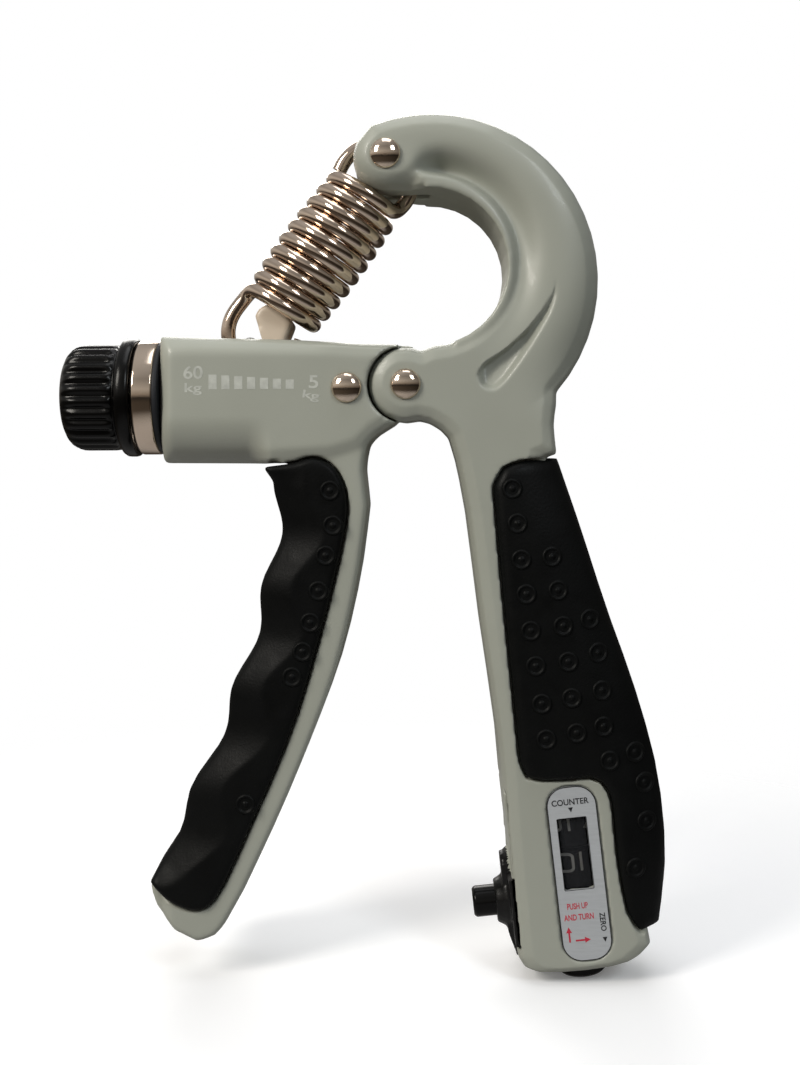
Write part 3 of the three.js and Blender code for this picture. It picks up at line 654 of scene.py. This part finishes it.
def loop_path(centre, direction, tip, join):
    """From the free tip, at an angle in degrees, round the loop and over into the coil."""
    path = []
    for angle in np.radians(np.linspace(tip, LOOP_END, 60)):
        u, v = LOOP * math.cos(angle), -LOOP * math.sin(angle)
        path.append(spring_point(centre + direction * u, direction * v, 0))
    for degrees in np.linspace(4, 90, 12):
        angle = math.radians(degrees)
        w = BEND * (1 - math.cos(angle))
        v = (END_RADIUS + 0.35 * (1 - degrees / 90)) * math.cos(w / END_RADIUS)
        path.append(spring_point(join - direction * BEND * (1 - math.sin(angle)), direction * v, w))
    return path


def main_spring():
    """One smooth wire, cut into six lengths: the head loop rides on the spring's head, and the others stay in
    place.
    """
    bend_turn, turn_step = 0.053, 1 / 44
    turns = np.arange(bend_turn + 0.006, TURNS - bend_turn - 0.003, turn_step)
    lower = loop_path(LOOP_OFFSET, 1, LOWER_TIP, COIL_START)
    upper = loop_path(SPRING_LENGTH - LOOP_OFFSET, -1, UPPER_TIP, COIL_START + PITCH * TURNS)[::-1]
    path = np.array(lower + [coil_point(t) for t in turns] + upper)
    gone = np.concatenate([[0], np.cumsum(np.linalg.norm(np.diff(path, axis=0), axis=1))])
    coil_gone = gone[len(lower):len(lower) + len(turns)]
    cut_lengths = [coil_gone[0]] + [float(np.interp(t, turns, coil_gone)) for t in CUT_TURNS]
    cut_lengths.append(gone[len(lower) + len(turns)])
    even = np.linspace(0, gone[-1], int(gone[-1] / WIRE_STEP))
    path = np.stack([np.interp(even, gone, path[:, k]) for k in range(3)], 1)
    for _ in range(WIRE_SMOOTHING):
        path[1:-1] = (path[:-2] + 2 * path[1:-1] + path[2:]) / 4
    tangents, normals = wire_frames(path, np.array([0.1, 1.0, 0.1]))
    cuts = [0] + [int(np.searchsorted(even, length)) for length in cut_lengths] + [len(path) - 1]
    names = ["wire_foot_loop", "wire_coil_a", "wire_coil_b", "wire_coil_c", "wire_coil_d", "wire_head_loop"]
    nodes = ["spring_lower_loop", "spring_coil_1", "spring_coil_2", "spring_coil_3", "spring_coil_4",
             "spring_upper_loop"]
    pairs = [("spring_foot", "spring_a"), ("spring_a", "spring_b"), ("spring_b", "spring_c"),
             ("spring_c", "spring_d"), ("spring_d", "spring_head"), None]
    for i, (name, node, pair) in enumerate(zip(names, nodes, pairs)):
        a, b = cuts[i], cuts[i + 1] + 1
        obj = tube(name, path[a:b], tangents[a:b], normals[a:b], WIRE, WIRE_CHROME)
        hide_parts(node)
        if pair is None:
            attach(obj, "spring_head")
        else:
            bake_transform(obj)


main_spring()


# ---------- counter ----------
# How far the case's upper wall moves in, and its plate's lower end leans in and reaches down.
WALL_SHIFT, PLATE_LEAN, PLATE_DROP = 0.95, 1.1, 1.3
# The plate's half width with its margin, and the height at which its round top begins.
PLATE_HALF, PLATE_MARGIN, PLATE_SHOULDER = 3.5, 4.5, -4.6


def beside_plate(q):
    """0 within the counter's round-ended plate, rising to 1 just outside it."""
    past_shoulder = np.maximum(q[:, 2] - PLATE_SHOULDER, 0)
    return ramp(np.hypot(q[:, 1], past_shoulder), PLATE_HALF, PLATE_MARGIN)


def shape_case(p):
    """The case's upper wall lies flush in the handle's inner side, and its plate ends against the foot."""
    q = to_counter(p)
    wall = ramp(q[:, 2], PLATE_SHOULDER, -3.9) * beside_plate(q) * (q[:, 0] < -11)
    q[:, 0] += WALL_SHIFT * wall
    plate = (q[:, 0] < -13.15) & (q[:, 2] < -12)
    q[:, 0] += np.where(plate, PLATE_LEAN * ramp(-q[:, 2], 15, 20), 0)
    q[:, 2] -= np.where(plate, PLATE_DROP * ramp(-q[:, 2], 12, 20), 0)
    return counter_point(q)


def colour_upper_wall(mesh):
    """Gives the case's upper wall the handle's material."""
    mesh.materials.append(GREY)
    places = np.empty(len(mesh.polygons) * 3)
    mesh.polygons.foreach_get("center", places)
    places = to_counter(places.reshape(-1, 3) / MM - PIVOT)
    upper_wall = (places[:, 0] < -10.5) & (places[:, 2] > -4.1) & (beside_plate(places) > 0.5)
    mesh.polygons.foreach_set("material_index", upper_wall.astype(np.int32))
    mesh.update()


colour_upper_wall(remeshed("counter_housing", "counter_case", 0.3, 3, CASE, "handle", shape_case).data)
turned("push_button", "x", (0, -10.7), [(POINT, -20.3), (2.5, -20.3), (2.95, -19.8), (2.95, -11.4),
                                        (4.3, -11.4), (4.3, -10.2), (2.95, -10.2), (2.95, -9.6),
                                        (POINT, -9.6)],
       GLOSS, "push_button", ("plunger",), segments=48, frame_of=counter_point)
turned("reset_button", "z", DRUM_AXIS, [(POINT, -25), (4.1, -25), (4.7, -24.4), (4.7, -22.7), (1.4, -22.7),
                                        (1.4, -14), (POINT, -14)],
       GLOSS, "reset", ("reset_knob",), segments=60, frame_of=counter_point)


def counter_spring(name, node, axis, centre, radius, low, high, turns):
    """A return spring, fixed on the handle."""
    per_turn, wire = 20, 0.25
    path = []
    for i in range(turns * per_turn + 1):
        a = 2 * math.pi * i / per_turn
        along = low + (high - low) * i / (turns * per_turn)
        p, q = centre[0] + radius * math.cos(a), centre[1] + radius * math.sin(a)
        path.append((along, p, q) if axis == "x" else (p, q, along))
    path = counter_point(path)
    obj = tube(name, path, *wire_frames(path), wire, STEEL, sides=8)
    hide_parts(node)
    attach(obj, "handle")
    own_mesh(obj)


counter_spring("button_return_spring", "plunger_spring", "x", (0, -13.2), 1.5, -9.1, -2.6, 6)
counter_spring("reset_return_spring", "reset_spring", "z", DRUM_AXIS, 2.7, -20.9, -17.9, 4)


# ---------- number drums ----------
def strokes(digit):
    """A digit as rounded strokes in a box one unit wide and two high."""
    def bow(cx, cy, r, a, b, n=9):
        turns = [math.radians(t) for t in np.linspace(a, b, n)]
        return [(cx + r * math.cos(t), cy + r * math.sin(t)) for t in turns]

    r = 0.38
    top, low = 1.62, 0.38
    left, right = 0.38, 0.62
    full = (bow(right, top, r, 0, 90) + bow(left, top, r, 90, 180) + bow(left, low, r, 180, 270)
            + bow(right, low, r, 270, 360))
    return {
        0: [full + full[:1]],
        1: [[(0.25, 0.0), (0.25, 2.0)]],
        2: [bow(left, top, r, 170, 90) + bow(right, top, r, 90, -10) + [(0.0, 0.0), (1.0, 0.0)]],
        3: [[(0.05, 2.0)] + bow(right, top, r, 90, -90) + [(0.3, 1.06)],
            bow(right, 0.6, 0.46, 90, -90) + [(0.05, 0.1)]],
        4: [[(0.75, 0.0), (0.75, 2.0), (0.0, 0.6), (1.0, 0.6)]],
        5: [[(0.95, 2.0), (0.1, 2.0), (0.1, 1.15)] + bow(0.55, 0.6, 0.5, 90, -90) + [(0.05, 0.1)]],
        6: [bow(0.5, 0.5, 0.5, 0, 360, 20), [(0.0, 0.5), (0.05, 1.1), (0.35, 1.7), (0.8, 2.0)]],
        7: [[(0.0, 2.0), (1.0, 2.0), (0.4, 0.0)]],
        8: [bow(0.5, 0.5, 0.5, 0, 360, 20), bow(0.5, 1.5, 0.46, 0, 360, 20)],
        9: [bow(0.5, 1.5, 0.5, 0, 360, 20), [(1.0, 1.5), (0.95, 0.9), (0.65, 0.3), (0.2, 0.0)]],
    }[digit]


def ribbon(line, width):
    """The left and right edges of a flat band along a line in the plane."""
    line = np.asarray(line, float)
    step = np.gradient(line, axis=0)
    step /= np.linalg.norm(step, axis=1)[:, None] + 1e-12
    side = np.stack([-step[:, 1], step[:, 0]], 1) * width / 2
    overrun = 0.3 * width
    line[0] -= step[0] * overrun
    line[-1] += step[-1] * overrun
    return line + side, line - side


def drum(name, node, low, high, first, middle, body):
    """A drum with ten digits standing a hair proud of its rim. Digit `first` faces the front."""
    radius, hole = 6.0, 1.15
    turned(name, "z", DRUM_AXIS, [(hole, low), (radius, low), (radius, high), (hole, high)], DRUM_BLACK, body,
           (node,), segments=80, rounding=0.25, frame_of=counter_point, closed=True)
    wide, tall, stroke = 2.9, 1.62, 0.52
    proud, sunk = radius + 0.04, radius - 0.1
    points, faces = [], []
    for digit in range(10):
        centre = math.radians(-90 + 36 * (digit - first))
        for line in strokes(digit):
            fine = []
            for a, b in zip(line, line[1:]):
                shares = np.linspace(0, 1, 4, endpoint=False)
                fine += [tuple(np.array(a) + (np.array(b) - a) * t) for t in shares]
            fine.append(line[-1])
            flat = [((a - 0.5) * wide, (b - 1) * tall) for a, b in fine]
            edges = ribbon(flat, stroke)
            start, count = len(points), len(flat)
            for height in (proud, sunk):
                for a, b in np.vstack(edges):
                    t = centre + a / radius
                    points.append((DRUM_AXIS[0] + height * math.cos(t), DRUM_AXIS[1] + height * math.sin(t),
                                   middle + b))
            for i in range(count - 1):
                a, b, c, d = (start + k * count + i for k in range(4))
                faces += [(a, a + 1, b + 1, b), (c, d, d + 1, c + 1), (a, c, c + 1, a + 1),
                          (b, b + 1, d + 1, d)]
            for i in (0, count - 1):
                a, b, c, d = (start + k * count + i for k in range(4))
                faces.append((a, b, d, c))
    piece(name + "_digits", counter_point(points), faces, PRINT_WHITE, body, flat=True)


drum("tens_wheel", "tens_drum", 0.45, 7.95, 0.78, 5.55, "tens")
drum("units_wheel", "units_drum", -7.95, -0.45, 0.35, -2.25, "units")


# ---------- label ----------
LABEL_X, LABEL_Z, LABEL_W, LABEL_L = 0.3, -3.8, 4.65, 16.5
LABEL_FACE, OUTLINE_FACE, OUTLINE_BACK = -10.78, -10.81, -10.7
# How far a print stands out of its face, and how deep it starts behind it.
PRINT_PROUD, PRINT_DEEP = 0.03, 0.1


def rounded_box(x, z, half_x, half_z, r, n=10):
    """The outline of a box with round corners, in X and Z."""
    out = []
    for sx, sz, start in ((1, 1, 0), (-1, 1, 90), (-1, -1, 180), (1, -1, 270)):
        for a in np.radians(np.linspace(start, start + 90, n)):
            out.append((x + sx * (half_x - r) + r * math.cos(a), z + sz * (half_z - r) + r * math.sin(a)))
    return out


def frame_ring(name, outer, inner, front, back, material, replaces=()):
    """A closed frame between two outlines with as many points, with a small chamfer in front."""
    rows = []
    shrink, chamfer = 0.06, 0.05
    middle = np.mean(outer, 0)
    for line, y, grow in ((outer, back, 0), (outer, front + chamfer, 0), (outer, front, -shrink),
                          (inner, front, 0), (inner, back, 0)):
        line = np.array(line)
        away = line - middle
        away /= np.linalg.norm(away, axis=1)[:, None]
        line = line + away * grow
        rows += [(a, y, b) for a, b in line]
    faces = grid_faces(5, len(outer), close_rows=True)
    piece(name, counter_point(rows), faces, material, "handle", replaces, flat=True)


plate_out = rounded_box(LABEL_X, LABEL_Z, LABEL_W, LABEL_L, 3.6)
plate_rim = rounded_box(LABEL_X, LABEL_Z, LABEL_W + 0.03, LABEL_L + 0.03, 3.62)
plate_line = rounded_box(LABEL_X, LABEL_Z, LABEL_W - 0.13, LABEL_L - 0.13, 3.5)
window_out = rounded_box(0, 0, 2.74, 6.79, 0.25)
window_rim = rounded_box(0, 0, 2.86, 6.91, 0.3)
frame_ring("label_foil", plate_out, window_out, LABEL_FACE, -10.3, FOIL, ("label_plate",))
frame_ring("label_outline", plate_rim, plate_line, OUTLINE_FACE, OUTLINE_BACK, PRINT_BLACK)
frame_ring("window_outline", window_rim, window_out, OUTLINE_FACE, OUTLINE_BACK, PRINT_BLACK)


def words(name, text, height, width, centre, turn, material, where):
    """Raised print: text as a thin mesh of a given height and width, facing the front."""
    y, body, place = where
    curve = bpy.data.curves.new(name, "FONT")
    curve.body = text
    curve.size = 1
    curve.offset = 0.016
    curve.extrude = 0.02
    curve.resolution_u = 6
    holder = placed(name, curve)
    graph = bpy.context.evaluated_depsgraph_get()
    mesh = bpy.data.meshes.new_from_object(holder.evaluated_get(graph))
    bpy.data.objects.remove(holder)
    places = np.array([v.co[:] for v in mesh.vertices])
    low, high = places.min(0), places.max(0)
    flat = (places[:, :2] - (low + high)[:2] / 2) / (high - low)[:2] * (width, height)
    c, s = math.cos(math.radians(turn)), math.sin(math.radians(turn))
    across, up = flat[:, 0] * c - flat[:, 1] * s, flat[:, 0] * s + flat[:, 1] * c
    depth = np.where(places[:, 2] > 0, y - PRINT_PROUD, y + PRINT_DEEP)
    points = place(np.stack([centre[0] + across, depth, centre[1] + up], 1))
    piece(name, points, [tuple(p.vertices) for p in mesh.polygons], material, body, flat=True)


def shapes(name, outlines, material, where):
    """Flat printed shapes, each a convex outline in X and Z."""
    y, body, place = where
    points, faces = [], []
    for outline in outlines:
        n, start = len(outline), len(points)
        points += [(a, y - PRINT_PROUD, b) for a, b in outline] + [(a, y + PRINT_DEEP, b) for a, b in outline]
        faces.append(tuple(start + i for i in range(n)))
        faces.append(tuple(start + n + i for i in reversed(range(n))))
        for i in range(n):
            after = (i + 1) % n
            faces.append((start + i, start + n + i, start + n + after, start + after))
    piece(name, place(points), faces, material, body, flat=True)


def arrow(x, z, length, turn, wide=0.32, head=1.1):
    """A straight arrow that starts at x, z: its shaft and its head."""
    c, s = math.cos(math.radians(turn)), math.sin(math.radians(turn))
    shaft = [(0, -wide / 2), (length - head, -wide / 2), (length - head, wide / 2), (0, wide / 2)]
    tip = [(length - head, -head * 0.5), (length, 0), (length - head, head * 0.5)]
    return [[(x + a * c - b * s, z + a * s + b * c) for a, b in part] for part in (shaft, tip)]


# Each printed face: its place in Y, its body, and the axes that it is drawn in.
ON_LABEL = (LABEL_FACE, "handle", counter_point)
words("print_header", "COUNTER", 1.15, 7.0, (0.1, 9.85), 0, PRINT_BLACK, ON_LABEL)
words("print_action_top", "PUSH UP", 1.15, 3.9, (-0.75, -9.85), 0, PRINT_RED, ON_LABEL)
words("print_action_low", "AND TURN", 1.15, 5.6, (-0.72, -11.95), 0, PRINT_RED, ON_LABEL)
words("print_side", "ZERO", 1.05, 3.5, (3.7, -13.3), -90, PRINT_BLACK, ON_LABEL)
shapes("print_arrows", arrow(-2.9, -16.6, 2.9, 90) + arrow(-1.8, -16.35, 2.85, 0), PRINT_RED, ON_LABEL)
shapes("print_marks", [
    [(-0.4, 8.8), (0.05, 7.9), (0.5, 8.8)],
    [(3.28, -16.2), (3.72, -17.1), (4.16, -16.2)],
], PRINT_BLACK, ON_LABEL)

# ---------- load scale on the barrel ----------
ON_BARREL = (-BARREL_HALF, "lever", np.array)
words("scale_high", "60", 2.5, 3.7, (-40.3, 2.45), 0, PRINT_GREY, ON_BARREL)
words("scale_high_unit", "kg", 2.3, 3.3, (-40.3, -0.7), 0, PRINT_GREY, ON_BARREL)
words("scale_low", "5", 2.5, 1.8, (-17.4, 0.5), 0, PRINT_GREY, ON_BARREL)
words("scale_low_unit", "kg", 2.0, 3.2, (-17.9, -2.2), -10, PRINT_GREY, ON_BARREL)
BARS, BAR_START, BAR_PITCH, BAR_HALF, BAR_FOOT, BAR_TOP, BAR_DROP = 7, -36.6, 2.45, 0.78, -0.8, 2.0, 0.17
bars = []
for i in range(BARS):
    x, top = BAR_START + BAR_PITCH * i, BAR_TOP - BAR_DROP * i
    left, right = x - BAR_HALF, x + BAR_HALF
    bars.append([(left, BAR_FOOT), (right, BAR_FOOT), (right, top), (left, top)])
shapes("scale_bars", bars, PRINT_GREY, ON_BARREL)


# ---------- carried-over CAD nodes ----------
for node, look in {
    "barrel_bush": CREAM, "slider_pin": STEEL, "counter_axle": STEEL, "pinion_shaft": STEEL,
    "transfer_pinion": CREAM, "drive_pawl": STEEL, "reset_collar": CREAM, "window_lens": GLASS,
}.items():
    frame["nodes"][node].data.materials.clear()
    frame["nodes"][node].data.materials.append(look)


# ---------- camera, floor and light ----------
CAMERA_PLACE = (-3.589, -254.948, -15.012)
CAMERA_TURNS = (0.42477, -0.30181, -1.71629)


def camera():
    """The main viewpoint: a place in millimetres about the pivot, and small turns in degrees."""
    pitch, roll, yaw = (math.radians(t) for t in CAMERA_TURNS)
    turn = Matrix.Rotation(yaw, 3, "Z") @ Matrix.Rotation(roll, 3, "Y") @ Matrix.Rotation(pitch, 3, "X")
    back = turn.transposed()
    data = bpy.data.cameras.new("camera")
    data.sensor_fit = "VERTICAL"
    data.sensor_height = 36
    data.lens = 43.67
    data.shift_x = 0.01105
    data.shift_y = -0.0654
    data.clip_start = 0.01
    obj = placed("camera", data)
    place = back @ Vector(CAMERA_PLACE)
    looking = back @ Matrix.Rotation(math.pi / 2, 3, "X")
    obj.matrix_world = Matrix.Translation((place + Vector(PIVOT)) * MM) @ looking.to_4x4()
    bpy.context.scene.camera = obj


def floor():
    """A wide pale floor under the foot, which fades out into the white room."""
    rings, sides, reach = 24, 96, 0.85
    fade_from, fade_to, bounced, glow = 0.07, 0.24, 0.3, 0.12
    rows = []
    for ring in range(1, rings + 1):
        for k in range(sides):
            a = 2 * math.pi * k / sides
            rows.append((reach * ring / rings * math.cos(a), reach * ring / rings * math.sin(a), 0))
    mesh = bpy.data.meshes.new("floor")
    mesh.from_pydata(rows, [], grid_faces(rings, sides) + [tuple(range(sides))])
    material = surface("pale_floor", (248, 249, 252), 0.7, mottle=0.004, mottle_scale=4, grain=0.02,
                       grain_scale=400)
    nodes, links = material.node_tree.nodes, material.node_tree.links
    shader = nodes["Principled BSDF"]
    place = nodes.new("ShaderNodeTexCoord")
    away = nodes.new("ShaderNodeVectorMath")
    away.operation = "LENGTH"
    links.new(place.outputs["Object"], away.inputs[0])
    fade = map_range(nodes, links, away.outputs["Value"], (fade_from, fade_to), (1, 0))
    fade.interpolation_type = "SMOOTHSTEP"
    # The floor counts for less in light that bounces off it than to the camera.
    path = nodes.new("ShaderNodeLightPath")
    seen = map_range(nodes, links, path.outputs["Is Camera Ray"], (0, 1), (bounced, 1))
    both = nodes.new("ShaderNodeMath")
    both.operation = "MULTIPLY"
    links.new(fade.outputs["Result"], both.inputs[0])
    links.new(seen.outputs["Result"], both.inputs[1])
    links.new(both.outputs["Value"], shader.inputs["Alpha"])
    shader.inputs["Emission Color"].default_value = (1, 1, 1, 1)
    shader.inputs["Emission Strength"].default_value = glow
    mesh.materials.append(material)
    placed("floor", mesh)


def area(name, place, aim, size, power, colour):
    """A rectangular soft light at a place, turned towards its aim."""
    light = bpy.data.lights.new(name, "AREA")
    light.shape = "RECTANGLE"
    light.size, light.size_y = size
    light.energy = power
    light.color = colour
    obj = placed(name, light)
    place, aim = Vector(place), Vector(aim)
    obj.matrix_world = Matrix.Translation(place) @ (aim - place).to_track_quat("-Z", "Y").to_matrix().to_4x4()


def studio_world():
    """White to the camera, and a softly banded room for reflections."""
    world = bpy.data.worlds.new("studio")
    world.use_nodes = True
    bpy.context.scene.world = world
    nodes, links = world.node_tree.nodes, world.node_tree.links
    nodes.clear()
    out = nodes.new("ShaderNodeOutputWorld")
    mix = nodes.new("ShaderNodeMixShader")
    path = nodes.new("ShaderNodeLightPath")
    white = nodes.new("ShaderNodeBackground")
    white.inputs["Color"].default_value = (1, 1, 1, 1)
    room = nodes.new("ShaderNodeBackground")
    place = nodes.new("ShaderNodeTexCoord")
    split = nodes.new("ShaderNodeSeparateXYZ")
    links.new(place.outputs["Generated"], split.inputs["Vector"])
    bands = nodes.new("ShaderNodeValToRGB")
    stops = [(0.0, (0.16, 0.14, 0.12)), (0.40, (0.12, 0.10, 0.08)), (0.48, (0.05, 0.045, 0.04)),
             (0.53, (0.55, 0.49, 0.42)), (0.62, (0.95, 0.92, 0.86)), (0.78, (0.55, 0.54, 0.52)),
             (1.0, (1.0, 1.0, 1.0))]
    elements = bands.color_ramp.elements
    while len(elements) < len(stops):
        elements.new(0.5)
    for element, (position, colour) in zip(elements, stops):
        element.position = position
        element.color = (*colour, 1)
    height = map_range(nodes, links, split.outputs["Z"], (-1, 1), (0, 1))
    sideways = map_range(nodes, links, split.outputs["X"], (-1, 1), (0.66, 0.2))
    links.new(sideways.outputs["Result"], room.inputs["Strength"])
    links.new(height.outputs["Result"], bands.inputs["Fac"])
    links.new(bands.outputs["Color"], room.inputs["Color"])
    links.new(path.outputs["Is Camera Ray"], mix.inputs["Fac"])
    links.new(room.outputs["Background"], mix.inputs[1])
    links.new(white.outputs["Background"], mix.inputs[2])
    links.new(mix.outputs["Shader"], out.inputs["Surface"])


camera()
floor()
studio_world()
area("key", (-0.40, -0.38, 0.44), (-0.01, 0.0, 0.15), (0.2, 0.26), 2.75, (1.0, 0.95, 0.87))
area("fill", (0.36, -0.5, 0.5), (0.02, 0.0, 0.15), (0.17, 0.22), 1.25, (0.9, 0.96, 1.0))
area("top", (0.05, 0.0, 0.85), (0.0, 0.0, 0.1), (0.6, 0.4), 1.5, (0.97, 0.98, 1.0))
area("behind", (-0.1, 0.8, 0.55), (0.0, 0.0, 0.1), (0.6, 0.4), 3.4, (1.0, 0.98, 0.94))
bpy.context.scene.view_settings.view_transform = "Standard"
